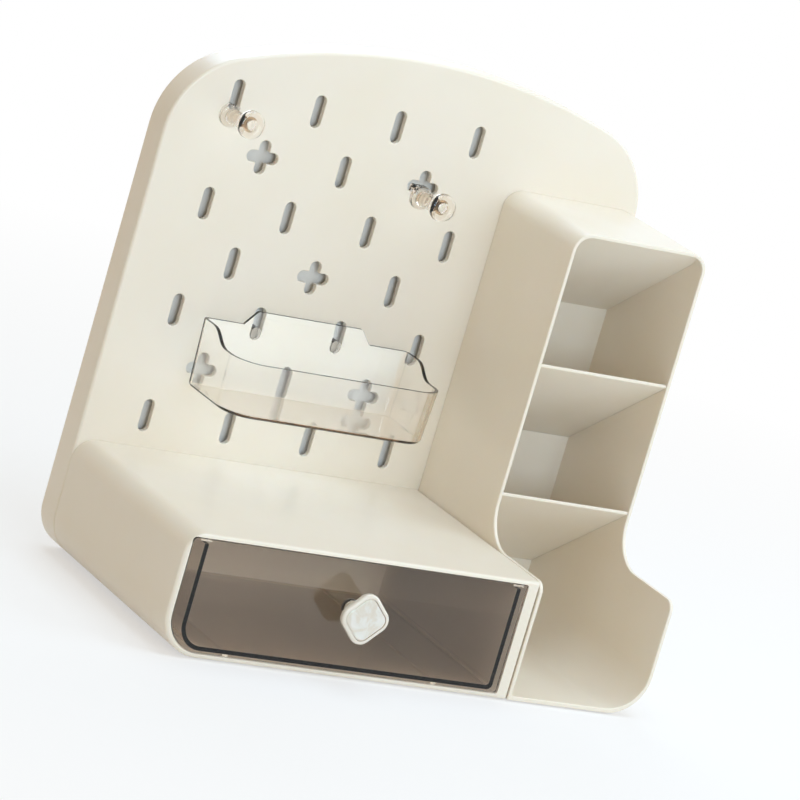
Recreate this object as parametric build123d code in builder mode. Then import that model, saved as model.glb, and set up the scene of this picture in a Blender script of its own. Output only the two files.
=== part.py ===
from build123d import *
from math import asin, cos, degrees, radians, sin, sqrt, tan
import os

# Desk organizer: an arched pegboard stands behind a drawer case (left) and an
# open three-pocket tower (right); a clear tray and two clear peg hooks hang on it.
# Sizes in millimetres. +X right, -Y to the user, +Z up; the origin is the middle
# of the footprint, on the surface that the rubber pads stand on.

# ------------------------------------------------------------ driving dimensions
organizer_width = 280.0
case_depth = 140.5          # lower cases, pegboard face to front edge
case_height = 62.7          # drawer case, and the tower's low side walls
case_foot_radius = 22.0     # bottom outer corners of the cases and the pegboard
pad_stand = 0.8             # rubber pads stand out this far below the cases

panel_height = 284.4
panel_depth = 17.2
panel_wall = 3.2            # pegboard's front wall
panel_rim = 3.0             # pegboard's side wall
panel_corner_radius = 44.7
panel_arch_radius = 354.6
panel_edge_round = 1.6
hook_space = 3.6            # behind the front wall, for hook tails and screw heads

slot_length = 17.0
slot_width = 6.0
clover_span = 17.8
clover_lobe = 6.2
hole_edge_round = 0.5
hole_pitch_x = 46.9
hole_pitch_z = 28.2
hole_columns = 4
hole_rows = 7
first_hole_x = 34.4         # from the pegboard's left edge
first_hole_drop = 35.9      # below the pegboard's top

cover_thickness = 2.0
cover_lip = 1.6             # rim left standing round the rear cover
cover_clearance = 0.2
cover_boss_radius = 4.0
cover_screw_radius = 1.4
cover_screw_head = 2.8      # countersunk head radius
cover_screw_length = 7.0
cover_bore_length = 6.0     # passes right through the cover, to both sides
cover_low_screw = (20.0, 20.0)      # inset from the side, height above the underside
cover_middle_screw = (14.0, 150.0)
cover_high_screw = (60.0, 23.4)     # inset from the side, drop from the top

drawer_case_width = 199.5
left_wall = 3.0
right_wall = 6.4
roof_wall = 2.0
floor_wall = 2.4
back_wall = 2.2
case_top_radius = 11.0
case_square_corner = 0.8
case_front_round = 1.8
case_back_round = 0.5       # draws the seam with the pegboard
opening_corner_radius = 1.5
opening_top_radius = 3.0    # upper left corner of the drawer's opening
runner_height = 1.0
runner_width = 3.0
runner_inset = 36.0         # runner ribs, from the sides of the drawer opening
stop_rib_drop = 2.4
stop_rib_thickness = 2.0
stop_rib_setback = 4.0      # from the case's front edge
stop_rib_width = 6.0

front_gap = 0.4             # round the drawer's front
front_thickness = 2.6
front_setback = 0.2
drawer_wall = 2.2
drawer_left_inset = 7.7     # drawer's box, from the left of the opening
drawer_right_inset = 3.0
drawer_top_inset = 3.3
drawer_corner_radius = 13.0
drawer_low_corner = 3.0
drawer_back_radius = 4.0
drawer_rear_gap = 6.0
drawer_lift = 0.2           # running gap over the runner ribs
drawer_travel = 102.0
stop_ear_thickness = 3.0
stop_ear_gap = 0.5

knob_proud = 17.0
knob_height = 36.1          # centre, above the case's underside
knob_lobe_ring_radius = 6.5 # the lobes' centres stand on this circle
knob_lobe_radius = 6.5
knob_cap_thickness = 3.6
knob_rim = 1.9
knob_recess = 1.4
knob_round = 1.2
knob_stem_radius = 3.4
knob_foot_radius = 4.0
knob_foot_thickness = 1.2
inlay_gap = 0.05
inlay_dome = 1.1
knob_screw_radius = 1.5
knob_screw_length = 11.0
knob_screw_head = 3.0
knob_screw_head_height = 1.8
knob_washer_radius = 4.5
knob_washer_thickness = 0.8

tower_gap = 0.5             # seam between the drawer case and the tower
tower_height = 228.5
tower_depth = 78.0
tower_wall = 2.0
tower_rim_round = 0.6
tower_top_radius = 10.0
flare_radius = 21.0
nose_radius = 6.0
divider_thickness = 1.6
divider_slope = 35.0        # degrees, rising to the front
divider_groove = 0.8        # how far the dividers reach into the walls
divider_clearance = 0.05
divider_setback = 0.8
divider_edge_round = 0.5
lower_divider_z = 89.3      # front edge, above the tower's underside
divider_pitch = 69.3
roof_lip = 0.4              # flat strip behind the top rim, before the roof slants down
back_window_inset = 26.0    # window behind the slanted roof, from the tower's sides
back_window_drop = (9.0, 45.0)          # from the tower's top

post_radius = 3.5
post_clearance = 0.2
post_short = 0.2            # posts end this far before the panel wall's back
case_screw_radius = 1.4
case_screw_head = 3.0
case_screw_head_height = 2.0
case_screw_length = 5.4
case_washer_radius = 6.0
case_washer_thickness = 1.0
screw_fit = 0.05
screw_head_round = 0.6
drawer_case_post_inset = 45.0           # from the case's sides
drawer_case_posts_z = (16.0, 48.0)      # from its underside
tower_post_inset = 16.0
tower_posts_z = (46.0, 200.0)

pad_radius = 6.0
pad_socket = 1.0
pad_edge_round = 0.25
pad_inset = 34.0            # from the drawer case's sides
pads_y = (20.0, 120.0)      # from the pegboard's face

tray_shift = 4.95           # the tray's middle, to the right of its slots' middle
tray_width = 120.2
tray_depth = 52.4
tray_bottom_drop = 37.1     # below the middle of the slots that carry the tray
tray_rim_drop = 8.3
tray_back_drop = 0.9
tray_draft = 2.4            # degrees
tray_wall = 2.0
tray_front_radius = 15.0
tray_back_radius = 4.0
tray_bottom_round = 3.0
tray_edge_round = 0.7
tray_standoff = 0.3         # from the pegboard's face
tray_sweep = (13.0, 33.0)   # the side rim falls between these depths
tab_width = 61.0
tab_shoulder = 8.0
tab_rise = 6.7              # above the middle of the slots
tray_columns = (1, 2)       # slot columns that carry the tray
tray_row = 4
neck_width = 5.2
neck_height = 6.6
tongue_length = 8.5         # below the neck
tongue_thickness = 2.0
hang_clearance = 0.3

peg_length = 24.0           # flange face to the end of the knob
peg_radius = 3.9
peg_tilt = 4.5              # degrees upwards
peg_bore_radius = 2.9
peg_bore_depth = 15.0
flange_radius = 6.0
flange_thickness = 3.0
flange_round = 1.1
peg_knob_radius = 7.2
peg_knob_thickness = 5.0
peg_knob_round = 1.9
tail_above_centre = 2.4     # tail's underside, above the flange's centre
tail_height = 3.2
slot_tail_width = 3.0
clover_tail_width = 9.0
slot_peg_shift = -1.0       # the loose peg leans to the left of its slot
peg_tongue_length = 6.4

# --------------------------------------------------------------- places in space
left_x = -organizer_width / 2
right_x = organizer_width / 2
face_y = (case_depth + knob_proud - front_setback - panel_depth) / 2
back_y = face_y + panel_depth
front_y = face_y - case_depth
floor_z = pad_stand
panel_top = floor_z + panel_height
wall_back_y = face_y + panel_wall
cover_front_y = wall_back_y + hook_space
cover_back_y = cover_front_y + cover_thickness

case_right_x = left_x + drawer_case_width
case_top_z = floor_z + case_height
opening_left = left_x + left_wall
opening_right = case_right_x - right_wall
opening_floor = floor_z + floor_wall
opening_roof = case_top_z - roof_wall

drawer_face_y = front_y + front_setback
drawer_back_face_y = drawer_face_y + front_thickness
drawer_left = opening_left + drawer_left_inset
drawer_right = opening_right - drawer_right_inset
drawer_base = opening_floor + runner_height + drawer_lift
drawer_top = opening_roof - drawer_top_inset
drawer_rear_y = face_y - back_wall - drawer_rear_gap
knob_x = (opening_left + opening_right) / 2
knob_z = floor_z + knob_height
knob_face_y = drawer_face_y - knob_proud

tower_left = case_right_x + tower_gap
tower_top = floor_z + tower_height
tower_edge_y = face_y - tower_depth
tower_back_y = face_y - back_wall

screw_places = [(cover_low_screw[0], floor_z + cover_low_screw[1]),
                (cover_middle_screw[0], floor_z + cover_middle_screw[1]),
                (cover_high_screw[0], panel_top - cover_high_screw[1])]
screw_points = [(side * (right_x - inset), z) for side in (-1, 1) for inset, z in screw_places]
drawer_case_posts = [(x, floor_z + z) for z in drawer_case_posts_z
                     for x in (left_x + drawer_case_post_inset, case_right_x - drawer_case_post_inset)]
tower_posts = [(x, floor_z + z) for z in tower_posts_z
               for x in (tower_left + tower_post_inset, right_x - tower_post_inset)]
drawer_case_pads = [(x, face_y - y) for y in pads_y
                    for x in (left_x + pad_inset, case_right_x - pad_inset)]
tower_pads = [((tower_left + right_x) / 2, face_y - y) for y in pads_y]


def hole_at(column, row):
    """Centre of a pegboard hole; odd-numbered rows stand half a pitch aside."""
    shift = 0.5 if row % 2 else 0.0
    x = left_x + first_hole_x + (column + shift) * hole_pitch_x
    return (x, panel_top - first_hole_drop - row * hole_pitch_z)


holes = [(column, row) for row in range(hole_rows) for column in range(hole_columns - row % 2)]
clovers = [(c, r) for c, r in holes if r % 2 and (c + (r - 1) // 2) % 2 == 0]
slots = [hole for hole in holes if hole not in clovers]


def facing(y):
    """Plane parallel to the pegboard; it extrudes towards the user."""
    return Plane.XZ.offset(-y)


def rounded_face(x0, z0, x1, z1, radii):
    """Face between two corners; radii run from the lower left, anticlockwise."""
    with BuildLine() as outline:
        FilletPolyline((x0, z0), (x1, z0), (x1, z1), (x0, z1), radius=radii, close=True)
    make_face(outline.line)


def panel_face(inset):
    """Arched outline of the pegboard, drawn in by an inset all round."""
    foot = case_foot_radius - inset
    foot_x = right_x - case_foot_radius
    foot_z = floor_z + case_foot_radius
    corner_x = right_x - panel_corner_radius
    arch_z = panel_top - panel_arch_radius
    reach = panel_arch_radius - panel_corner_radius
    lean = degrees(asin(corner_x / reach))
    corner_z = arch_z + reach * cos(radians(lean))
    corner = panel_corner_radius - inset
    with BuildLine() as outline:
        CenterArc((0, arch_z), panel_arch_radius - inset, 90 - lean, 2 * lean)
        left = CenterArc((-corner_x, corner_z), corner, 90 + lean, 90 - lean)
        left_foot = CenterArc((-foot_x, foot_z), foot, 180, 90)
        right_foot = CenterArc((foot_x, foot_z), foot, 270, 90)
        right = CenterArc((corner_x, corner_z), corner, 0, 90 - lean)
        Line(left @ 1, left_foot @ 0)
        Line(left_foot @ 1, right_foot @ 0)
        Line(right_foot @ 1, right @ 0)
    make_face(outline.line)


def hole_faces():
    """Every slot and clover of the pegboard."""
    with Locations(*[hole_at(c, r) for c, r in slots]):
        SlotOverall(slot_length, slot_width, rotation=90)
    with Locations(*[hole_at(c, r) for c, r in clovers]):
        SlotOverall(clover_span, clover_lobe)
        SlotOverall(clover_span, clover_lobe, rotation=90)


# ------------------------------------------------------------------ pegboard shell
with BuildPart() as pegboard_panel:
    with BuildSketch(facing(back_y)):
        panel_face(0)
    extrude(amount=panel_depth)
    front_loop = pegboard_panel.faces().sort_by(Axis.Y)[0].edges()
    fillet(front_loop, panel_edge_round)
    with BuildSketch(facing(back_y)):
        panel_face(panel_rim)
    extrude(amount=panel_depth - panel_wall, mode=Mode.SUBTRACT)
    with BuildSketch(facing(back_y)):
        panel_face(cover_lip)
    extrude(amount=back_y - cover_front_y, mode=Mode.SUBTRACT)
    with BuildSketch(facing(cover_front_y)):
        with Locations(*screw_points):
            Circle(cover_boss_radius)
    extrude(amount=cover_front_y - wall_back_y)
    with BuildSketch(facing(wall_back_y)):
        hole_faces()
    extrude(amount=panel_wall, mode=Mode.SUBTRACT)
    with BuildSketch(facing(wall_back_y)):
        with Locations(*drawer_case_posts, *tower_posts):
            Circle(post_radius + post_clearance)
    extrude(amount=panel_wall, mode=Mode.SUBTRACT)
    with BuildSketch(facing(cover_front_y)):
        with Locations(*screw_points):
            Circle(cover_screw_radius + screw_fit)
    extrude(amount=cover_screw_length - cover_thickness + screw_fit, mode=Mode.SUBTRACT)
    face_loops = pegboard_panel.faces().filter_by(Axis.Y).sort_by(Axis.Y)[0].inner_wires()
    board_holes = [loop for loop in face_loops if loop.bounding_box().size.Z > slot_length / 2]
    fillet(ShapeList([edge for loop in board_holes for edge in loop.edges()]), hole_edge_round)
pegboard_panel.part.label = "pegboard_panel"

# --------------------------------------------------------- rear cover and its screws
with BuildPart() as panel_rear_cover:
    with BuildSketch(facing(cover_back_y)):
        panel_face(cover_lip + cover_clearance)
    extrude(amount=cover_thickness)
    with Locations(facing(cover_back_y)):
        with Locations(*[(x, z, 0) for x, z in screw_points]):
            Cylinder(cover_screw_radius + screw_fit, cover_bore_length, mode=Mode.SUBTRACT)
    rear_face = panel_rear_cover.faces().sort_by(Axis.Y)[-1]
    sink_edges = rear_face.inner_wires()
    chamfer(ShapeList([edge for loop in sink_edges for edge in loop.edges()]),
            cover_screw_head - cover_screw_radius)
panel_rear_cover.part.label = "panel_rear_cover"

with BuildPart() as rear_cover_screws:
    head_depth = cover_screw_head - cover_screw_radius
    with BuildSketch(facing(cover_back_y)):
        with Locations(*screw_points):
            Circle(cover_screw_head - screw_fit)
    extrude(amount=head_depth, taper=45)
    with BuildSketch(facing(cover_back_y - head_depth / 2)):
        with Locations(*screw_points):
            Circle(cover_screw_radius)
    extrude(amount=cover_screw_length - head_depth / 2)
rear_cover_screws.part.label = "rear_cover_screws"


# --------------------------------------------------- posts, screws and washers of cases
def add_posts(points):
    """Stub posts on a case's back that reach through the pegboard's wall."""
    with BuildSketch(facing(wall_back_y - post_short)) as posts:
        with Locations(*points):
            Circle(post_radius)
    extrude(posts.sketch, amount=panel_wall - post_short + back_wall / 2)
    with BuildSketch(facing(wall_back_y)) as pilots:
        with Locations(*points):
            Circle(case_screw_radius + screw_fit)
    extrude(pilots.sketch, amount=case_screw_length - case_washer_thickness + post_short,
            mode=Mode.SUBTRACT)


def case_screws(points):
    """Pan-head screws that draw a case against the pegboard, from behind."""
    head_y = wall_back_y + case_washer_thickness
    with BuildPart() as screws:
        with BuildSketch(facing(head_y + case_screw_head_height)):
            with Locations(*points):
                Circle(case_screw_head)
        extrude(amount=case_screw_head_height)
        fillet(screws.edges().group_by(Axis.Y)[-1], screw_head_round)
        with BuildSketch(facing(head_y)):
            with Locations(*points):
                Circle(case_screw_radius)
        extrude(amount=case_screw_length)
    return screws.part


def case_washers(points):
    """Flat washers that bear on the pegboard's wall round the posts."""
    with BuildPart() as washers:
        with BuildSketch(facing(wall_back_y + case_washer_thickness)):
            with Locations(*points):
                Circle(case_washer_radius)
                Circle(case_screw_radius + post_clearance, mode=Mode.SUBTRACT)
        extrude(amount=case_washer_thickness)
    return washers.part


def cut_pad_sockets(points):
    """Shallow round sockets in a case's underside for the rubber pads."""
    with BuildSketch(Plane.XY.offset(floor_z)) as sockets:
        with Locations(*points):
            Circle(pad_radius)
    extrude(sockets.sketch, amount=pad_socket, mode=Mode.SUBTRACT)


# ------------------------------------------------------------------- drawer case
with BuildPart() as drawer_housing:
    with BuildSketch(facing(face_y)):
        rounded_face(left_x, floor_z, case_right_x, case_top_z,
                     [case_foot_radius, case_square_corner, case_square_corner, case_top_radius])
    extrude(amount=case_depth)
    fillet(drawer_housing.faces().sort_by(Axis.Y)[0].edges(), case_front_round)
    fillet(drawer_housing.faces().sort_by(Axis.Y)[-1].edges(), case_back_round)
    with BuildSketch(facing(face_y - back_wall)):
        rounded_face(opening_left, opening_floor, opening_right, opening_roof,
                     [case_foot_radius - left_wall, opening_corner_radius,
                      opening_corner_radius, opening_top_radius])
    extrude(amount=case_depth, mode=Mode.SUBTRACT)
    runner_x = (opening_left + runner_inset, opening_right - runner_inset)
    runner_length = case_depth - back_wall - stop_rib_setback
    with BuildSketch(Plane.XY.offset(opening_floor)):
        with Locations(*[(x, face_y - back_wall - runner_length / 2) for x in runner_x]):
            Rectangle(runner_width, runner_length)
    extrude(amount=runner_height)
    stop_y = front_y + stop_rib_setback
    stop_x = (drawer_left + drawer_wall / 2, drawer_right - drawer_wall / 2)
    with BuildSketch(Plane.XY.offset(opening_roof - stop_rib_drop)):
        with Locations(*[(x, stop_y + stop_rib_thickness / 2) for x in stop_x]):
            Rectangle(stop_rib_width, stop_rib_thickness)
    extrude(amount=stop_rib_drop + roof_wall / 2)
    add_posts(drawer_case_posts)
    cut_pad_sockets(drawer_case_pads)
drawer_housing.part.label = "drawer_housing"

housing_screws = case_screws(drawer_case_posts)
housing_screws.label = "housing_screws"
housing_washers = case_washers(drawer_case_posts)
housing_washers.label = "housing_washers"

# ------------------------------------------------------------------------ drawer
with BuildPart() as drawer_box:
    with BuildSketch(facing(drawer_back_face_y)):
        rounded_face(opening_left + front_gap, opening_floor + front_gap,
                     opening_right - front_gap, opening_roof - front_gap,
                     [case_foot_radius - left_wall - front_gap, opening_corner_radius,
                      opening_corner_radius, opening_top_radius - front_gap])
    extrude(amount=front_thickness)
    fillet(drawer_box.faces().sort_by(Axis.Y)[0].edges(), front_gap)
    with BuildSketch(facing(drawer_rear_y)):
        rounded_face(drawer_left, drawer_base, drawer_right, drawer_top + drawer_wall,
                     [drawer_corner_radius, drawer_low_corner, drawer_wall, drawer_wall])
    extrude(amount=drawer_rear_y - drawer_back_face_y)
    rear_corners = drawer_box.edges().filter_by(Axis.Z).group_by(Axis.Y)[-1]
    fillet(rear_corners, drawer_back_radius)
    with BuildSketch(facing(drawer_rear_y - drawer_wall)):
        rounded_face(drawer_left + drawer_wall, drawer_base + drawer_wall,
                     drawer_right - drawer_wall, drawer_top + 2 * drawer_wall,
                     [drawer_corner_radius - drawer_wall, drawer_low_corner - drawer_wall / 2,
                      drawer_wall, drawer_wall])
    extrude(amount=drawer_rear_y - drawer_wall - drawer_back_face_y, mode=Mode.SUBTRACT)
    with BuildSketch(Plane.XY.offset(drawer_top)):
        with Locations((knob_x, (drawer_rear_y + drawer_back_face_y) / 2)):
            Rectangle(organizer_width, drawer_rear_y - drawer_back_face_y)
    extrude(amount=2 * drawer_wall, mode=Mode.SUBTRACT)
    ear_y = stop_y + stop_rib_thickness + drawer_travel + stop_ear_gap + stop_ear_thickness / 2
    with BuildSketch(Plane.XY.offset(drawer_top)):
        with Locations(*[(x, ear_y) for x in stop_x]):
            Rectangle(drawer_wall, stop_ear_thickness)
    extrude(amount=drawer_top_inset - stop_ear_gap)
    with BuildSketch(facing(drawer_back_face_y)):
        with Locations((knob_x, knob_z)):
            Circle(knob_screw_radius + post_clearance)
    extrude(amount=front_thickness, mode=Mode.SUBTRACT)
drawer_box.part.label = "drawer_box"


# -------------------------------------------------------------------------- knob
def lobed_face(shrink):
    """Four soft lobes in a rounded diamond, drawn in by a margin."""
    with PolarLocations(knob_lobe_ring_radius, 4):
        Circle(knob_lobe_radius - shrink)
    make_hull()


cap_back_y = knob_face_y + knob_cap_thickness
knob_plane = Plane(origin=(knob_x, cap_back_y, knob_z), x_dir=(1, 0, 0), z_dir=(0, -1, 0))
with BuildPart() as knob_body:
    with BuildSketch(knob_plane):
        lobed_face(0)
    extrude(amount=knob_cap_thickness)
    fillet(knob_body.faces().sort_by(Axis.Y)[0].edges(), knob_round)
    fillet(knob_body.faces().sort_by(Axis.Y)[-1].edges(), knob_round)
    with BuildSketch(knob_plane.offset(knob_cap_thickness - knob_recess)):
        lobed_face(knob_rim)
    extrude(amount=knob_recess, mode=Mode.SUBTRACT)
    with BuildSketch(knob_plane):
        Circle(knob_stem_radius)
    extrude(amount=cap_back_y - drawer_face_y)
    with BuildSketch(facing(drawer_face_y)):
        with Locations((knob_x, knob_z)):
            Circle(knob_foot_radius)
    extrude(amount=knob_foot_thickness)
    with BuildSketch(facing(drawer_face_y)):
        with Locations((knob_x, knob_z)):
            Circle(knob_screw_radius + screw_fit)
    extrude(amount=knob_screw_length - front_thickness, mode=Mode.SUBTRACT)
knob_body.part.label = "knob_body"

with BuildPart() as knob_inlay:
    with BuildSketch(knob_plane.offset(knob_cap_thickness - knob_recess)):
        lobed_face(knob_rim + inlay_gap)
    extrude(amount=knob_recess)
    fillet(knob_inlay.faces().sort_by(Axis.Y)[0].edges(), inlay_dome)
knob_inlay.part.label = "knob_inlay"

screw_head_y = drawer_back_face_y + knob_washer_thickness
with BuildPart() as knob_screw:
    with BuildSketch(facing(screw_head_y + knob_screw_head_height)):
        with Locations((knob_x, knob_z)):
            Circle(knob_screw_head)
    extrude(amount=knob_screw_head_height)
    fillet(knob_screw.edges().group_by(Axis.Y)[-1], screw_head_round)
    with BuildSketch(facing(screw_head_y)):
        with Locations((knob_x, knob_z)):
            Circle(knob_screw_radius)
    extrude(amount=knob_screw_length)
knob_screw.part.label = "knob_screw"

with BuildPart() as knob_washer:
    with BuildSketch(facing(screw_head_y)):
        with Locations((knob_x, knob_z)):
            Circle(knob_washer_radius)
            Circle(knob_screw_radius + post_clearance, mode=Mode.SUBTRACT)
    extrude(amount=knob_washer_thickness)
knob_washer.part.label = "knob_washer"

# ------------------------------------------------------------------- open tower
inner_left = tower_left + tower_wall
inner_right = right_x - tower_wall
middle_x = (tower_left + right_x) / 2
groove_length = inner_right - inner_left + 2 * divider_groove


def tower_profile():
    """Side view: a tall back part, a concave flare and low side walls."""
    with BuildLine() as outline:
        Polyline((tower_edge_y, case_top_z + flare_radius), (tower_edge_y, tower_top),
                 (face_y, tower_top), (face_y, floor_z), (front_y, floor_z),
                 (front_y, case_top_z - nose_radius))
        nose = CenterArc((front_y + nose_radius, case_top_z - nose_radius), nose_radius, 90, 90)
        flare = CenterArc((tower_edge_y - flare_radius, case_top_z + flare_radius),
                          flare_radius, 270, 90)
        Line(nose @ 0, flare @ 0)
    make_face(outline.line)


def divider_face(front_z, slack, reach):
    """Side view of a divider, from its front edge down to the back wall."""
    front = tower_edge_y + divider_setback - slack
    rear = tower_back_y + reach
    fall = (rear - front) * tan(radians(divider_slope))
    drop = divider_thickness / cos(radians(divider_slope)) + 2 * slack
    top_z = front_z + slack
    with BuildLine() as outline:
        Polyline((front, top_z), (front, top_z - drop),
                 (rear, top_z - drop - fall), (rear, top_z - fall), close=True)
    make_face(outline.line)


def roof_face():
    """Side view of the slanted roof of the top pocket, parallel to the dividers."""
    front = tower_edge_y + tower_wall + roof_lip
    roof_z = tower_top - tower_wall
    slope = tan(radians(divider_slope))
    drop = tower_wall / cos(radians(divider_slope))
    rear_z = roof_z - (tower_back_y - front) * slope
    with BuildLine() as outline:
        Polyline((front, roof_z), (tower_back_y, rear_z), (tower_back_y, rear_z + drop),
                 (front + drop / slope, roof_z), close=True)
    make_face(outline.line)


def rim_edges(tower):
    """Both edges of the tower's open rim, all along its stepped front."""
    rim_faces = [face for face in tower.faces()
                 if face.bounding_box().max.Y < tower_edge_y + tower_wall
                 and abs(face.normal_at().X) < tower_rim_round]
    edges = [edge for face in rim_faces for edge in face.edges()]
    return ShapeList([edge for edge in edges if edge.length > 2 * tower_wall])


divider_front_z = [floor_z + lower_divider_z, floor_z + lower_divider_z + divider_pitch]

with BuildPart() as tower_hollow:
    with BuildSketch(facing(tower_back_y)):
        rounded_face(inner_left, opening_floor, inner_right, tower_top - tower_wall,
                     [opening_corner_radius, case_foot_radius - tower_wall,
                      tower_top_radius - tower_wall, tower_top_radius - tower_wall])
    extrude(amount=case_depth)
    with BuildSketch(Plane.YZ.offset(tower_left)):
        roof_face()
    extrude(amount=right_x - tower_left, mode=Mode.SUBTRACT)

with BuildPart() as tower_shell:
    with BuildSketch(facing(face_y)):
        rounded_face(tower_left, floor_z, right_x, tower_top,
                     [case_square_corner, case_foot_radius, tower_top_radius, tower_top_radius])
    extrude(amount=case_depth)
    add(tower_hollow.part, mode=Mode.SUBTRACT)
    fillet(tower_shell.faces().sort_by(Axis.Y)[-1].edges(), case_back_round)
    with BuildSketch(Plane.YZ.offset(tower_left)):
        tower_profile()
    extrude(amount=right_x - tower_left, mode=Mode.INTERSECT)
    fillet(rim_edges(tower_shell), tower_rim_round)
    for front_z in divider_front_z:
        with BuildSketch(Plane.YZ.offset(inner_left - divider_groove)):
            divider_face(front_z, divider_clearance, divider_groove)
        extrude(amount=groove_length, mode=Mode.SUBTRACT)
    add_posts(tower_posts)
    cut_pad_sockets(tower_pads)
    window_top, window_foot = [tower_top - drop for drop in back_window_drop]
    with BuildSketch(facing(face_y)):
        with Locations((middle_x, (window_top + window_foot) / 2)):
            Rectangle(right_x - tower_left - 2 * back_window_inset, window_top - window_foot)
    extrude(amount=back_wall, mode=Mode.SUBTRACT)
tower_shell.part.label = "tower_shell"

tower_screws = case_screws(tower_posts)
tower_screws.label = "tower_screws"
tower_washers = case_washers(tower_posts)
tower_washers.label = "tower_washers"


def tower_divider(front_z):
    """Slanted plate that slides into the grooves of the tower's walls."""
    with BuildPart() as divider:
        with BuildSketch(Plane.YZ.offset(inner_left - divider_groove + divider_clearance)):
            divider_face(front_z, 0, divider_groove - divider_clearance)
        extrude(amount=groove_length - 2 * divider_clearance)
        front_edges = divider.edges().filter_by(Axis.X).group_by(Axis.Y)[0]
        fillet(front_edges, divider_edge_round)
    return divider.part


lower_divider = tower_divider(divider_front_z[0])
lower_divider.label = "lower_divider"
upper_divider = tower_divider(divider_front_z[1])
upper_divider.label = "upper_divider"

# -------------------------------------------------------------------- rubber pads
with BuildPart() as rubber_pads:
    with BuildSketch(Plane.XY):
        with Locations(*drawer_case_pads, *tower_pads):
            Circle(pad_radius - screw_fit)
    extrude(amount=pad_stand + pad_socket)
    fillet(rubber_pads.edges().group_by(Axis.Z)[0], pad_edge_round)
rubber_pads.part.label = "rubber_pads"

# ------------------------------------------------------------- clear hanging tray
tray_back_y = face_y - tray_standoff
tray_slots = [hole_at(column, tray_row) for column in tray_columns]
tray_middle_x = (tray_slots[0][0] + tray_slots[-1][0]) / 2 + tray_shift
slot_middle_z = tray_slots[0][1]
tray_bottom_z = slot_middle_z - tray_bottom_drop
tray_rim_z = slot_middle_z - tray_rim_drop
tray_back_z = slot_middle_z - tray_back_drop
tray_ceiling_z = tray_back_z + tray_wall
tab_top_z = slot_middle_z + tab_rise


def tray_face(z, inset):
    """Plan of the tray at a height: drafted sides, a straight upright back."""
    lean = (z - tray_rim_z) * tan(radians(tray_draft)) - inset
    x0 = tray_middle_x - tray_width / 2 - lean
    x1 = tray_middle_x + tray_width / 2 + lean
    back = tray_back_y - inset
    front = tray_back_y - tray_depth - lean
    rounds = [tray_front_radius - inset, tray_front_radius - inset,
              tray_back_radius - inset, tray_back_radius - inset]
    with BuildSketch(Plane.XY.offset(z)) as plan:
        rounded_face(x0, front, x1, back, rounds)
    return plan.sketch


with BuildPart() as hanging_tray:
    loft([tray_face(tray_bottom_z, 0), tray_face(tray_ceiling_z, 0)])
    fillet(hanging_tray.faces().sort_by(Axis.Z)[0].edges(), tray_bottom_round)
    loft([tray_face(tray_bottom_z + tray_wall, tray_wall), tray_face(tray_ceiling_z, tray_wall)],
         mode=Mode.SUBTRACT)
    with BuildSketch(Plane.YZ.offset(left_x)):
        with BuildLine():
            sweep_back = (tray_back_y - tray_sweep[0], tray_back_z)
            sweep_front = (tray_back_y - tray_sweep[1], tray_rim_z)
            sweep_middle = (sweep_back[0] + sweep_front[0]) / 2
            Bezier(sweep_back, (sweep_middle, sweep_back[1]),
                   (sweep_middle, sweep_front[1]), sweep_front)
            Polyline(sweep_front, (front_y, tray_rim_z), (front_y, tab_top_z),
                     (face_y, tab_top_z), (face_y, tray_back_z), sweep_back)
        make_face()
    extrude(amount=organizer_width, mode=Mode.SUBTRACT)
    with BuildSketch(facing(tray_back_y)):
        tab_root = tab_width / 2 + tab_shoulder
        with BuildLine():
            FilletPolyline((tray_middle_x - tab_root, tray_back_z - tray_wall),
                           (tray_middle_x + tab_root, tray_back_z - tray_wall),
                           (tray_middle_x + tab_width / 2, tab_top_z),
                           (tray_middle_x - tab_width / 2, tab_top_z),
                           radius=[tray_edge_round, tray_edge_round, tray_wall, tray_wall], close=True)
        make_face()
    extrude(amount=tray_wall)
    tongue_plane = facing(wall_back_y + hang_clearance + tongue_thickness)
    for x, z in tray_slots:
        low_z = z - slot_length / 2 + hang_clearance
        with BuildSketch(tongue_plane):
            with Locations((x, low_z + neck_height / 2)):
                SlotOverall(neck_height, neck_width, rotation=90)
        extrude(amount=panel_wall + hang_clearance + tongue_thickness + tray_standoff + tray_wall / 2)
        with BuildSketch(tongue_plane):
            with Locations((x, low_z + (neck_height - tongue_length) / 2)):
                SlotOverall(neck_height + tongue_length, neck_width, rotation=90)
        extrude(amount=tongue_thickness)
hanging_tray.part.label = "hanging_tray"


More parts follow.
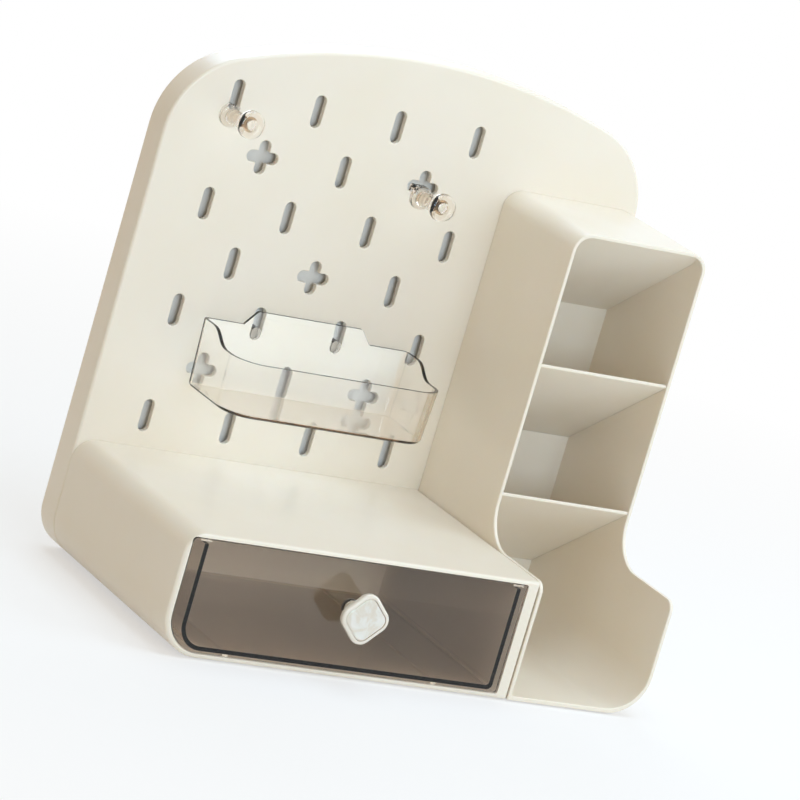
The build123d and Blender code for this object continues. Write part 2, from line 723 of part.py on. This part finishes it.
# ------------------------------------------------------------------ clear peg hooks
def peg_hook(centre, tail_width):
    """Mushroom peg with a wall flange and a tail that hooks behind the pegboard."""
    x, z = centre
    wall_plane = facing(face_y)
    axis_plane = Plane(origin=(x, face_y - flange_thickness / 2, z), x_dir=(1, 0, 0),
                       z_dir=(0, -cos(radians(peg_tilt)), sin(radians(peg_tilt))))
    knob_start = peg_length + flange_thickness / 2 - peg_knob_thickness
    with BuildPart() as peg:
        with BuildSketch(wall_plane):
            with Locations((x, z)):
                Circle(flange_radius)
        extrude(amount=flange_thickness)
        fillet(peg.edges().group_by(Axis.Y)[0], flange_round)
        with BuildSketch(axis_plane):
            Circle(peg_radius)
        extrude(amount=knob_start + peg_knob_thickness / 2)
        with BuildSketch(axis_plane.offset(knob_start)):
            Circle(peg_knob_radius)
        extrude(amount=peg_knob_thickness)
        knob_edges = peg.edges().filter_by(GeomType.CIRCLE)
        rims = ShapeList([e for e in knob_edges if abs(e.radius - peg_knob_radius) < screw_fit])
        fillet(rims, peg_knob_round)
        with BuildSketch(axis_plane.offset(knob_start + peg_knob_thickness)):
            Circle(peg_bore_radius)
        extrude(amount=-peg_bore_depth, mode=Mode.SUBTRACT)
        tail_plane = facing(wall_back_y + hang_clearance + tongue_thickness)
        tail_middle = z + tail_above_centre + tail_height / 2
        tail_round = min(tail_width, tail_height) / 2 - screw_fit
        with BuildSketch(tail_plane):
            with Locations((x, tail_middle)):
                RectangleRounded(tail_width, tail_height, tail_round)
        extrude(amount=panel_wall + hang_clearance + tongue_thickness + flange_thickness / 2)
        with BuildSketch(tail_plane):
            with Locations((x, tail_middle - peg_tongue_length / 2)):
                RectangleRounded(tail_width, tail_height + peg_tongue_length, tail_round)
        extrude(amount=tongue_thickness)
    return peg.part


# the narrow tail drops into the round lower end of the first slot
slot_x, slot_z = hole_at(0, 0)
slot_end = slot_width / 2
tail_end = slot_tail_width / 2
seat_drop = sqrt((slot_end - tail_end - hang_clearance) ** 2 - slot_peg_shift ** 2)
slot_seat = slot_z - slot_length / 2 + slot_end - seat_drop - tail_end
slot_peg_hook = peg_hook((slot_x + slot_peg_shift, slot_seat - tail_above_centre), slot_tail_width)
slot_peg_hook.label = "slot_peg_hook"

# the wide tail rests on the level lobes of the second clover in the second row
clover_x, clover_z = hole_at(2, 1)
clover_seat = clover_z - clover_lobe / 2 + hang_clearance
clover_peg_hook = peg_hook((clover_x, clover_seat - tail_above_centre), clover_tail_width)
clover_peg_hook.label = "clover_peg_hook"

# ----------------------------------------------------------------------- export
os.makedirs("parts", exist_ok=True)
pieces = [pegboard_panel.part, panel_rear_cover.part, rear_cover_screws.part,
          drawer_housing.part, housing_screws, housing_washers,
          drawer_box.part, knob_body.part, knob_inlay.part, knob_screw.part, knob_washer.part,
          tower_shell.part, tower_screws, tower_washers, lower_divider, upper_divider,
          rubber_pads.part, hanging_tray.part, slot_peg_hook, clover_peg_hook]
for piece in pieces:
    export_step(piece, f"parts/{piece.label}.step")
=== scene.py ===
from math import cos, pi, radians, sin

import bmesh
import bpy
from mathutils import Matrix, Vector


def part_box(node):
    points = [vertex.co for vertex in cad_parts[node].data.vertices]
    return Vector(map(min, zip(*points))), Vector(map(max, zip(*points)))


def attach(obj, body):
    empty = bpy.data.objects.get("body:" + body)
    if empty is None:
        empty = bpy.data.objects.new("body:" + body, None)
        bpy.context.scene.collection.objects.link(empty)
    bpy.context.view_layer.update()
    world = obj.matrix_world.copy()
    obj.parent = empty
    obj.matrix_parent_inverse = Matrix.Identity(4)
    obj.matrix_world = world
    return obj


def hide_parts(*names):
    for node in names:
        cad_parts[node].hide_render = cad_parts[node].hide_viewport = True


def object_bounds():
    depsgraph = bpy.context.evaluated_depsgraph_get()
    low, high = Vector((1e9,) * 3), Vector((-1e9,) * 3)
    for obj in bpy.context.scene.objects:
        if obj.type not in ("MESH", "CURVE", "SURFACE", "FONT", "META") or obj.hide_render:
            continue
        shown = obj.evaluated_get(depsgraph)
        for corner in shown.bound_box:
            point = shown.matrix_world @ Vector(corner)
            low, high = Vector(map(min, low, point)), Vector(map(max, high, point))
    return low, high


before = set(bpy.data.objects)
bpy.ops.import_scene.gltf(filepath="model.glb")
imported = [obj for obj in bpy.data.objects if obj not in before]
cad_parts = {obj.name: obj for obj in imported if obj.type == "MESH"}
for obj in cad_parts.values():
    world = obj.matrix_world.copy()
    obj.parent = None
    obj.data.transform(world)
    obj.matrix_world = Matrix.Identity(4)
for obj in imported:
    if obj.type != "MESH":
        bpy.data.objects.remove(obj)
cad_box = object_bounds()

# Looks of the desk organizer: ivory moulded plastic, a smoky see-through drawer,
# a clear tray and two clear pegs. Lengths in metres, in the frame of the CAD model:
# +X right, -Y to the user, +Z up, origin on the desk under the middle of the organizer.

mm = 0.001


def display(red, green, blue):
    """Scene-linear colour of a display colour with channels from 0 to 255."""
    return tuple(((c / 255 + 0.055) / 1.055) ** 2.4 for c in (red, green, blue)) + (1.0,)


# ------------------------------------------------------------------ node helpers
def add(tree, kind, inputs=None, **settings):
    """Adds a node. Inputs map a socket to a value or to another node's output."""
    node = tree.nodes.new(kind)
    for name, value in settings.items():
        setattr(node, name, value)
    for socket, value in (inputs or {}).items():
        if isinstance(value, bpy.types.NodeSocket):
            tree.links.new(value, node.inputs[socket])
        else:
            node.inputs[socket].default_value = value
    return node


def object_point(tree):
    return add(tree, "ShaderNodeTexCoord").outputs["Object"]


def noise(tree, point, scale, detail=2.0):
    """Noise with a number of features per metre."""
    inputs = {"Vector": point, "Scale": scale, "Detail": detail}
    return add(tree, "ShaderNodeTexNoise", inputs).outputs["Fac"]


def between(tree, factor, low, high, start=0.3, stop=0.7):
    """A number that runs from low to high while the factor runs from start to stop."""
    inputs = {"Value": factor, "From Min": start, "From Max": stop, "To Min": low, "To Max": high}
    return add(tree, "ShaderNodeMapRange", inputs).outputs["Result"]


def blend_colours(tree, factor, first, second):
    """Colour between two others. Sockets 6 and 7 are the colour inputs of a Mix node."""
    node = add(tree, "ShaderNodeMix", {0: factor, 6: first, 7: second}, data_type="RGBA")
    return node.outputs[2]


def relief(tree, height, depth, strength=1.0, normal=None):
    """Bump whose full height is a depth in metres."""
    inputs = {"Height": height, "Distance": depth, "Strength": strength}
    if normal is not None:
        inputs["Normal"] = normal
    return add(tree, "ShaderNodeBump", inputs).outputs["Normal"]


def shown_share(tree):
    """1 for rays that show the background: from the camera, a reflection or a see-through piece."""
    path = add(tree, "ShaderNodeLightPath")
    direct = add(tree, "ShaderNodeMath", {0: path.outputs["Is Camera Ray"],
                                          1: path.outputs["Is Glossy Ray"]}, operation="ADD")
    share = add(tree, "ShaderNodeMath", {0: direct.outputs[0],
                                         1: path.outputs["Is Transmission Ray"]},
                operation="ADD", use_clamp=True)
    return share.outputs[0]


def new_finish(name, constants):
    """Material with one Principled shader that has its constant sockets set."""
    material = bpy.data.materials.new(name)
    material.use_nodes = True
    shader = material.node_tree.nodes["Principled BSDF"]
    for socket, value in constants.items():
        shader.inputs[socket].default_value = value
    return material, material.node_tree, shader


# ---------------------------------------------------------------------- finishes
def moulded_plastic(name, pale, deep, roughness, coat, grain):
    """Opaque moulded plastic: faint mottling, slow waviness, fine mould grain."""
    constants = {"Coat Weight": coat, "Coat Roughness": 0.12, "IOR": 1.5,
                 "Subsurface Weight": 0.12, "Subsurface Radius": (1.0, 0.6, 0.35),
                 "Subsurface Scale": 1.5 * mm}
    material, tree, shader = new_finish(name, constants)
    point = object_point(tree)
    mottle = between(tree, noise(tree, point, scale=16, detail=4), low=0, high=1)
    tree.links.new(blend_colours(tree, mottle, pale, deep), shader.inputs["Base Color"])
    wear = noise(tree, point, scale=45, detail=5)
    rub = between(tree, wear, low=roughness - 0.04, high=roughness + 0.05)
    tree.links.new(rub, shader.inputs["Roughness"])
    wavy = relief(tree, noise(tree, point, scale=28, detail=1), depth=0.10 * mm)
    grainy = relief(tree, noise(tree, point, scale=1500, detail=1), depth=grain, normal=wavy)
    tree.links.new(grainy, shader.inputs["Normal"])
    return material


def clear_plastic(name, passed, density, roughness):
    """Clear glossy plastic with fine handling marks, which lets the lamps shine through.

    It takes on the passed colour with the length of plastic that light crosses, the sooner the
    higher the density, per metre.
    """
    constants = {"Base Color": (1, 1, 1, 1), "Transmission Weight": 1.0, "IOR": 1.49}
    material, tree, shader = new_finish(name, constants)
    point = object_point(tree)
    marks = noise(tree, point, scale=60, detail=5)
    smear = between(tree, marks, low=roughness, high=roughness + 0.03, start=0.5, stop=0.8)
    tree.links.new(smear, shader.inputs["Roughness"])
    wavy = relief(tree, noise(tree, point, scale=25, detail=1), depth=0.03 * mm)
    tree.links.new(wavy, shader.inputs["Normal"])
    lamp = add(tree, "ShaderNodeLightPath").outputs["Is Shadow Ray"]
    through = add(tree, "ShaderNodeBsdfTransparent", {"Color": (0.94, 0.94, 0.94, 1)})
    surface = add(tree, "ShaderNodeMixShader", {0: lamp, 1: shader.outputs[0],
                                                2: through.outputs[0]})
    depth = add(tree, "ShaderNodeVolumeAbsorption", {"Color": passed, "Density": density})
    output = tree.nodes["Material Output"]
    tree.links.new(surface.outputs[0], output.inputs["Surface"])
    tree.links.new(depth.outputs[0], output.inputs["Volume"])
    return material


def pearl_plastic(name):
    """Pearly inlay: soft swirls of cream under a clear gloss."""
    constants = {"Coat Weight": 0.8, "Coat Roughness": 0.08, "Thin Film Thickness": 380.0,
                 "Subsurface Weight": 0.2, "Subsurface Radius": (1.0, 0.7, 0.5),
                 "Subsurface Scale": 2 * mm}
    material, tree, shader = new_finish(name, constants)
    point = object_point(tree)
    swirl = add(tree, "ShaderNodeTexNoise",
                {"Vector": point, "Scale": 110.0, "Detail": 3.0, "Distortion": 1.6}).outputs["Fac"]
    factor = between(tree, swirl, low=0, high=1, start=0.35, stop=0.65)
    colour = blend_colours(tree, factor, display(226, 213, 194), display(238, 230, 218))
    tree.links.new(colour, shader.inputs["Base Color"])
    tree.links.new(between(tree, swirl, low=0.22, high=0.34), shader.inputs["Roughness"])
    return material


def matte_grey(name):
    """Rear cover: warm grey sheet plastic with a fine leathery grain."""
    material, tree, shader = new_finish(name, {"IOR": 1.5})
    point = object_point(tree)
    mottle = between(tree, noise(tree, point, scale=22, detail=4), low=0, high=1)
    colour = blend_colours(tree, mottle, display(233, 229, 221), display(227, 222, 213))
    tree.links.new(colour, shader.inputs["Base Color"])
    rub = between(tree, noise(tree, point, scale=60, detail=3), low=0.52, high=0.62)
    tree.links.new(rub, shader.inputs["Roughness"])
    cells = add(tree, "ShaderNodeTexVoronoi", {"Vector": point, "Scale": 700.0}).outputs["Distance"]
    grain = relief(tree, cells, depth=0.03 * mm, strength=0.6)
    tree.links.new(grain, shader.inputs["Normal"])
    return material


def zinc_steel(name):
    """Zinc-plated screws and washers: slight clouding and fine marks."""
    material, tree, shader = new_finish(name, {"Metallic": 1.0})
    point = object_point(tree)
    cloud = between(tree, noise(tree, point, scale=260, detail=4), low=0, high=1)
    colour = blend_colours(tree, cloud, display(205, 204, 200), display(182, 183, 184))
    tree.links.new(colour, shader.inputs["Base Color"])
    rub = between(tree, noise(tree, point, scale=900, detail=3), low=0.24, high=0.4)
    tree.links.new(rub, shader.inputs["Roughness"])
    marks = relief(tree, noise(tree, point, scale=1800, detail=1), depth=0.01 * mm)
    tree.links.new(marks, shader.inputs["Normal"])
    return material


def soft_rubber(name):
    """Translucent grey rubber pads, dull and slightly dusty."""
    constants = {"Subsurface Weight": 0.3, "Subsurface Radius": (1.0, 0.9, 0.8),
                 "Subsurface Scale": 1 * mm}
    material, tree, shader = new_finish(name, constants)
    point = object_point(tree)
    dust = between(tree, noise(tree, point, scale=320, detail=4), low=0, high=1)
    colour = blend_colours(tree, dust, display(196, 192, 184), display(212, 208, 200))
    tree.links.new(colour, shader.inputs["Base Color"])
    dull = between(tree, dust, low=0.6, high=0.8, start=0, stop=1)
    tree.links.new(dull, shader.inputs["Roughness"])
    grain = relief(tree, noise(tree, point, scale=1200, detail=2), depth=0.03 * mm)
    tree.links.new(grain, shader.inputs["Normal"])
    return material


ivory = moulded_plastic("ivory_plastic", display(238, 227, 210), display(236, 224, 204),
                        roughness=0.36, coat=0.12, grain=0.006 * mm)
knob_ivory = moulded_plastic("knob_ivory", display(234, 224, 209), display(231, 220, 203),
                             roughness=0.24, coat=0.4, grain=0.002 * mm)
pearl = pearl_plastic("pearl_inlay")
smoky = clear_plastic("smoky_plastic", passed=(0.70, 0.43, 0.16, 1), density=105.0,
                      roughness=0.02)
clear = clear_plastic("clear_plastic", passed=(0.80, 0.62, 0.40, 1), density=60.0,
                      roughness=0.01)
grey = matte_grey("grey_cover")
steel = zinc_steel("zinc_steel")
rubber = soft_rubber("pad_rubber")

finish_of = {
    "pegboard_panel": ivory, "drawer_housing": ivory, "tower_shell": ivory,
    "lower_divider": ivory, "upper_divider": ivory, "panel_rear_cover": grey,
    "rear_cover_screws": steel, "housing_screws": steel, "housing_washers": steel,
    "tower_screws": steel, "tower_washers": steel, "knob_screw": steel, "knob_washer": steel,
    "drawer_box": smoky, "knob_body": knob_ivory, "knob_inlay": pearl,
    "hanging_tray": clear, "slot_peg_hook": clear, "clover_peg_hook": clear,
    "rubber_pads": rubber,
}
for name, finish in finish_of.items():
    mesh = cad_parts[name].data
    mesh.materials.clear()
    mesh.materials.append(finish)

# --------------------------------------------------------------- screws and washers
washer_sizes = ("Outer radius", "Hole radius", "Thickness")
screw_sizes = ("Head radius", "Head height", "Recess reach", "Recess width", "Recess depth",
               "Shank radius", "Shank length", "Pitch", "Thread depth")

# Rings along and sides around each turned shape.
head_rings, head_sides = 20, 40
shank_rings, shank_sides = 60, 18
washer_rings, washer_sides = 26, 48

cad_weld = 0.001 * mm               # joins the loose triangles of a CAD mesh
pole_weld = 0.002 * mm              # closes the seam and the poles of a turned shape
sharp_angle = radians(40)


def solid_middles(node, height):
    """Middle of each separate solid of a CAD node in X and Z, with Y set to a height."""
    copy = bmesh.new()
    copy.from_mesh(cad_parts[node].data)
    bmesh.ops.remove_doubles(copy, verts=copy.verts, dist=cad_weld)
    left = set(copy.verts)
    middles = []
    while left:
        solid = set()
        waiting = [left.pop()]
        while waiting:
            vertex = waiting.pop()
            solid.add(vertex)
            reached = {link.other_vert(vertex) for link in vertex.link_edges} & left
            left -= reached
            waiting.extend(reached)
        xs = [vertex.co.x for vertex in solid]
        zs = [vertex.co.z for vertex in solid]
        middles.append(((min(xs) + max(xs)) / 2, height, (min(zs) + max(zs)) / 2))
    copy.free()
    return sorted(middles)


def field(tree, operation, first, second=0.0):
    """Result of a math node on two numbers or fields."""
    return add(tree, "ShaderNodeMath", {0: first, 1: second}, operation=operation).outputs[0]


def profile(tree, along, points):
    """Value along a profile, by straight runs between (share, value) points."""
    node = add(tree, "ShaderNodeFloatCurve", {"Value": along})
    curve = node.mapping.curves[0]
    for share, value in points[1:-1]:
        curve.points.new(share, value)
    curve.points[0].location = points[0]
    curve.points[-1].location = points[-1]
    for point in curve.points:
        point.handle_type = "VECTOR"
    node.mapping.update()
    return node.outputs[0]


def turned(tree, rings, sides, shape):
    """Shape turned about +Y. shape maps the shares along and around to radius and height."""
    grid = add(tree, "GeometryNodeMeshGrid", {"Size X": 1.0, "Size Y": 1.0, "Vertices X": rings,
                                              "Vertices Y": sides + 1})
    place = add(tree, "ShaderNodeSeparateXYZ",
                {0: add(tree, "GeometryNodeInputPosition").outputs[0]})
    along = field(tree, "ADD", place.outputs["X"], 0.5)
    around = field(tree, "ADD", place.outputs["Y"], 0.5)
    radius, height = shape(along, around)
    angle = field(tree, "MULTIPLY", around, 2 * pi)
    point = add(tree, "ShaderNodeCombineXYZ", {
        "X": field(tree, "MULTIPLY", radius, field(tree, "COSINE", angle)), "Y": height,
        "Z": field(tree, "MULTIPLY", radius, field(tree, "SINE", angle))})
    moved = add(tree, "GeometryNodeSetPosition", {"Geometry": grid.outputs["Mesh"],
                                                  "Position": point.outputs[0]})
    return add(tree, "GeometryNodeMergeByDistance", {"Geometry": moved.outputs[0],
                                                     "Distance": pole_weld}).outputs[0]


def box_at(tree, size, place):
    """Block of a size, moved to a place. Both are three numbers or outputs."""
    sides = add(tree, "ShaderNodeCombineXYZ", dict(zip("XYZ", size)))
    cube = add(tree, "GeometryNodeMeshCube", {"Size": sides.outputs[0]})
    shift = add(tree, "ShaderNodeCombineXYZ", dict(zip("XYZ", place)))
    return add(tree, "GeometryNodeTransform", {"Geometry": cube.outputs[0],
                                               "Translation": shift.outputs[0]}).outputs[0]


def new_tree(name, sizes):
    """Geometry Nodes tree with a named input for each size. Returns it and its inputs."""
    tree = bpy.data.node_groups.new(name, "GeometryNodeTree")
    tree.interface.new_socket("Places", in_out="INPUT", socket_type="NodeSocketGeometry")
    for label in sizes:
        tree.interface.new_socket(label, in_out="INPUT", socket_type="NodeSocketFloat")
    tree.interface.new_socket("Pieces", in_out="OUTPUT", socket_type="NodeSocketGeometry")
    return tree, add(tree, "NodeGroupInput").outputs


def set_out(tree, places, prototype, finish):
    """Ends a tree: copies a prototype to the places, makes the copies real, sets the finish."""
    copies = add(tree, "GeometryNodeInstanceOnPoints", {"Points": places, "Instance": prototype})
    real = add(tree, "GeometryNodeRealizeInstances", {0: copies.outputs[0]})
    painted = add(tree, "GeometryNodeSetMaterial", {"Geometry": real.outputs[0],
                                                    "Material": finish})
    add(tree, "NodeGroupOutput", {0: painted.outputs[0]})


def screw_tree(name, finish, head_radii, head_heights):
    """Cross-recess screws along +Y, with the underside of the head at the place."""
    tree, size = new_tree(name, screw_sizes)

    def head_shape(along, around):
        return (field(tree, "MULTIPLY", size["Head radius"], profile(tree, along, head_radii)),
                field(tree, "MULTIPLY", size["Head height"], profile(tree, along, head_heights)))

    def shank_shape(along, around):
        depth = field(tree, "MULTIPLY", along, size["Shank length"])
        turns = field(tree, "DIVIDE", depth, size["Pitch"])
        saw = field(tree, "FRACT", field(tree, "ADD", turns, around))
        flank = field(tree, "ABSOLUTE", field(tree, "SUBTRACT", saw, 0.5))
        crest = field(tree, "MULTIPLY", flank, field(tree, "MULTIPLY", size["Thread depth"], 2.0))
        core = field(tree, "SUBTRACT", size["Shank radius"], crest)
        tip = profile(tree, along, [(0, 0), (0.004, 1), (0.86, 1), (0.99, 0.4), (1, 0)])
        return field(tree, "MULTIPLY", core, tip), field(tree, "MULTIPLY", depth, -1.0)

    head = turned(tree, head_rings, head_sides, head_shape)
    top = (0.0, size["Head height"], 0.0)
    reach, width, sink = size["Recess reach"], size["Recess width"], size["Recess depth"]
    cut = add(tree, "GeometryNodeMeshBoolean", {
        0: head, 1: box_at(tree, (reach, sink, width), top), "Self Intersection": True},
        operation="DIFFERENCE", solver="EXACT")
    tree.links.new(box_at(tree, (width, sink, reach), top), cut.inputs[1])
    shank = turned(tree, shank_rings, shank_sides, shank_shape)
    screw = add(tree, "GeometryNodeJoinGeometry", {0: cut.outputs[0]})
    tree.links.new(shank, screw.inputs[0])
    set_out(tree, size["Places"], screw.outputs[0], finish)
    return tree


def washer_tree(name, finish):
    """Flat washers with rounded rims, lying across Y with their lower face at the place."""
    tree, size = new_tree(name, washer_sizes)

    def ring_shape(along, around):
        wide = field(tree, "SUBTRACT", size["Outer radius"], size["Hole radius"])
        out = profile(tree, along, [(0, 0), (0.04, 0.04), (0.42, 0.94), (0.46, 1), (0.54, 1),
                                    (0.58, 0.94), (0.96, 0.04), (1, 0)])
        up = profile(tree, along, [(0, 0.25), (0.04, 0), (0.42, 0), (0.46, 0.25), (0.54, 0.75),
                                   (0.58, 1), (0.96, 1), (1, 0.25)])
        radius = field(tree, "ADD", size["Hole radius"], field(tree, "MULTIPLY", wide, out))
        return radius, field(tree, "MULTIPLY", size["Thickness"], up)

    ring = turned(tree, washer_rings, washer_sides, ring_shape)
    set_out(tree, size["Places"], ring, finish)
    return tree


def set_pieces(name, tree, places, sizes, body):
    """Runs a tree on places and keeps the result as a plain piece that replaces its CAD node."""
    mesh = bpy.data.meshes.new(name)
    mesh.from_pydata(places, [], [])
    holder = bpy.data.objects.new(name + "_places", mesh)
    bpy.context.scene.collection.objects.link(holder)
    maker = holder.modifiers.new("set out", "NODES")
    maker.node_group = tree
    for item in tree.interface.items_tree:
        if item.in_out == "INPUT" and item.name in sizes:
            maker[item.identifier] = sizes[item.name]
    depsgraph = bpy.context.evaluated_depsgraph_get()
    made = bpy.data.meshes.new_from_object(holder.evaluated_get(depsgraph), depsgraph=depsgraph)
    if made.materials[0] is None:
        made.materials.pop(index=0)
    holder.modifiers.remove(maker)
    bpy.data.objects.remove(holder)
    outward = bmesh.new()
    outward.from_mesh(made)
    bmesh.ops.recalc_face_normals(outward, faces=outward.faces)
    outward.to_mesh(made)
    outward.free()
    made.shade_smooth()
    made.set_sharp_from_angle(angle=sharp_angle)
    piece = bpy.data.objects.new(name, made)
    bpy.context.scene.collection.objects.link(piece)
    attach(piece, body)
    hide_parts(name)


pan_head = [(0, 0), (0.25, 0.97), (0.3, 1), (0.55, 1), (0.75, 0.86), (0.9, 0.6), (1, 0)]
pan_rise = [(0, 0), (0.25, 0), (0.3, 0.04), (0.55, 0.55), (0.75, 0.84), (0.9, 0.97), (1, 1)]
sunk_head = [(0, 0), (0.35, 0.5), (0.65, 0.97), (0.7, 1), (0.75, 0.97), (1, 0)]
sunk_rise = [(0, 0), (0.35, 0), (0.65, 0.94), (0.7, 0.97), (0.75, 1), (1, 1)]
pan_screws = screw_tree("pan_head_screws", steel, pan_head, pan_rise)
sunk_screws = screw_tree("countersunk_screws", steel, sunk_head, sunk_rise)
flat_washers = washer_tree("flat_washers", steel)

case_screw = {"Head radius": 3 * mm, "Head height": 2 * mm, "Recess reach": 3.2 * mm,
              "Recess width": 0.8 * mm, "Recess depth": 2.4 * mm, "Shank radius": 1.4 * mm,
              "Shank length": 5.4 * mm, "Pitch": 0.9 * mm, "Thread depth": 0.3 * mm}
cover_screw = {**case_screw, "Head radius": 2.74 * mm, "Head height": 1.4 * mm,
               "Recess depth": 2.0 * mm, "Shank length": 5.55 * mm}
knob_fixing = {**case_screw, "Head height": 1.8 * mm, "Shank radius": 1.5 * mm,
               "Shank length": 11 * mm}
case_washer = {"Outer radius": 5.98 * mm, "Hole radius": 1.7 * mm, "Thickness": 1 * mm}
knob_ring = {"Outer radius": 4.48 * mm, "Hole radius": 1.8 * mm, "Thickness": 0.8 * mm}


def fasten(screws, screw, tree, body, washers=None, washer=None):
    """Sets screws in the places of the CAD screws, and washers where there are any.

    The tops of the heads are level with those of the CAD screws, whose heads face +Y.
    """
    seat_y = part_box(screws)[1].y - screw["Head height"]
    set_pieces(screws, tree, solid_middles(screws, seat_y), screw, body)
    if washers:
        foot_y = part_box(washers)[0].y
        places = solid_middles(washers, foot_y)
        set_pieces(washers, flat_washers, places, washer, body)


fasten("rear_cover_screws", cover_screw, sunk_screws, "case")
for group in ("housing", "tower"):
    fasten(group + "_screws", case_screw, pan_screws, "case", group + "_washers", case_washer)
fasten("knob_screw", knob_fixing, pan_screws, "drawer", "knob_washer", knob_ring)


# ------------------------------------------------------------------------- stage
floor_reach = 12.0
floor_paint = display(244, 243, 241)
near_whiteness = 0.55               # share of plain white on the floor by the organizer
white_start = 0.25                  # distance from which that share grows
white_full = 0.9                    # distance from which the floor shows all white

# Cool lamps and warm light from all round: shaded walls look warmer than lit ones.
daylight = (0.60, 0.79, 1.0)
warm_air = (1.0, 0.74, 0.38, 1)
air_strength = 0.39


def paint_floor():
    """Floor that shows white away from the organizer and keeps its shadow close by."""
    material = bpy.data.materials.new("studio_floor")
    material.use_nodes = True
    tree = material.node_tree
    tree.nodes.clear()
    away = add(tree, "ShaderNodeVectorMath", {0: object_point(tree)}, operation="LENGTH")
    whiteness = between(tree, away.outputs["Value"], near_whiteness, 1.0, white_start, white_full)
    share = add(tree, "ShaderNodeMath", {0: shown_share(tree), 1: whiteness},
                operation="MULTIPLY")
    paint = add(tree, "ShaderNodeBsdfDiffuse", {"Color": floor_paint})
    glow = add(tree, "ShaderNodeEmission", {"Color": (1, 1, 1, 1), "Strength": 1.0})
    mixed = add(tree, "ShaderNodeMixShader", {0: share.outputs[0], 1: paint.outputs[0],
                                              2: glow.outputs[0]})
    add(tree, "ShaderNodeOutputMaterial", {"Surface": mixed.outputs[0]})
    return material


bpy.ops.mesh.primitive_plane_add(size=2 * floor_reach)
floor = bpy.context.object
floor.name = "floor"
floor.data.materials.append(paint_floor())

world = bpy.data.worlds.new("studio")
world.use_nodes = True
bpy.context.scene.world = world
tree = world.node_tree
tree.nodes.clear()
air = add(tree, "ShaderNodeBackground", {"Color": warm_air, "Strength": air_strength})
white = add(tree, "ShaderNodeBackground", {"Color": (1, 1, 1, 1), "Strength": 1.0})
mixed = add(tree, "ShaderNodeMixShader", {0: shown_share(tree), 1: air.outputs[0],
                                          2: white.outputs[0]})
add(tree, "ShaderNodeOutputWorld", {"Surface": mixed.outputs[0]})

middle = (cad_box[0] + cad_box[1]) / 2


def softbox(name, azimuth, elevation, distance, width, height, power):
    """Area lamp that looks at the organizer's middle. Azimuth 0 stands at the user.

    Angles in degrees, azimuth to the user's right, and power in watts.
    """
    turn, rise = radians(azimuth), radians(elevation)
    away = Vector((sin(turn) * cos(rise), -cos(turn) * cos(rise), sin(rise)))
    lamp = bpy.data.lights.new(name, "AREA")
    lamp.shape = "RECTANGLE"
    lamp.size, lamp.size_y = width, height
    lamp.energy = power
    lamp.color = daylight
    holder = bpy.data.objects.new(name, lamp)
    bpy.context.scene.collection.objects.link(holder)
    holder.location = middle + away * distance
    holder.rotation_euler = (-away).to_track_quat("-Z", "Y").to_euler()


softbox("right_light", azimuth=62, elevation=28, distance=1.0, width=0.7, height=0.9, power=4.6)
softbox("front_light", azimuth=-5, elevation=14, distance=2.4, width=1.4, height=1.0, power=26)
softbox("top_light", azimuth=0, elevation=86, distance=1.3, width=1.2, height=1.2, power=13)
softbox("rear_light", azimuth=165, elevation=35, distance=1.8, width=1.0, height=1.0, power=9)

# ------------------------------------------------------------------------ camera
camera_azimuth = radians(30.57)     # to the left of the user's middle
camera_elevation = radians(12.1)
camera_roll = radians(16.41)
camera_distance = 2.68354
camera_lens = 234.16                # focal length and sensor width in millimetres
camera_sensor = 36.0
camera_near, camera_far = 0.1, 60.0
aim = Vector((34.15 * mm, 70.05 * mm, 109.36 * mm))

back = Vector((-sin(camera_azimuth) * cos(camera_elevation),
               -cos(camera_azimuth) * cos(camera_elevation), sin(camera_elevation)))
level = (-back).cross(Vector((0, 0, 1))).normalized()
upright = level.cross(-back)
right = cos(camera_roll) * level + sin(camera_roll) * upright
up = cos(camera_roll) * upright - sin(camera_roll) * level
lens = bpy.data.cameras.new("camera")
lens.sensor_width = camera_sensor
lens.lens = camera_lens
lens.clip_start, lens.clip_end = camera_near, camera_far
camera = bpy.data.objects.new("camera", lens)
bpy.context.scene.collection.objects.link(camera)
camera.matrix_world = Matrix.Translation(aim + back * camera_distance) @ Matrix(
    (right, up, back)).transposed().to_4x4()
bpy.context.scene.camera = camera
bpy.context.scene.view_settings.view_transform = "Standard"
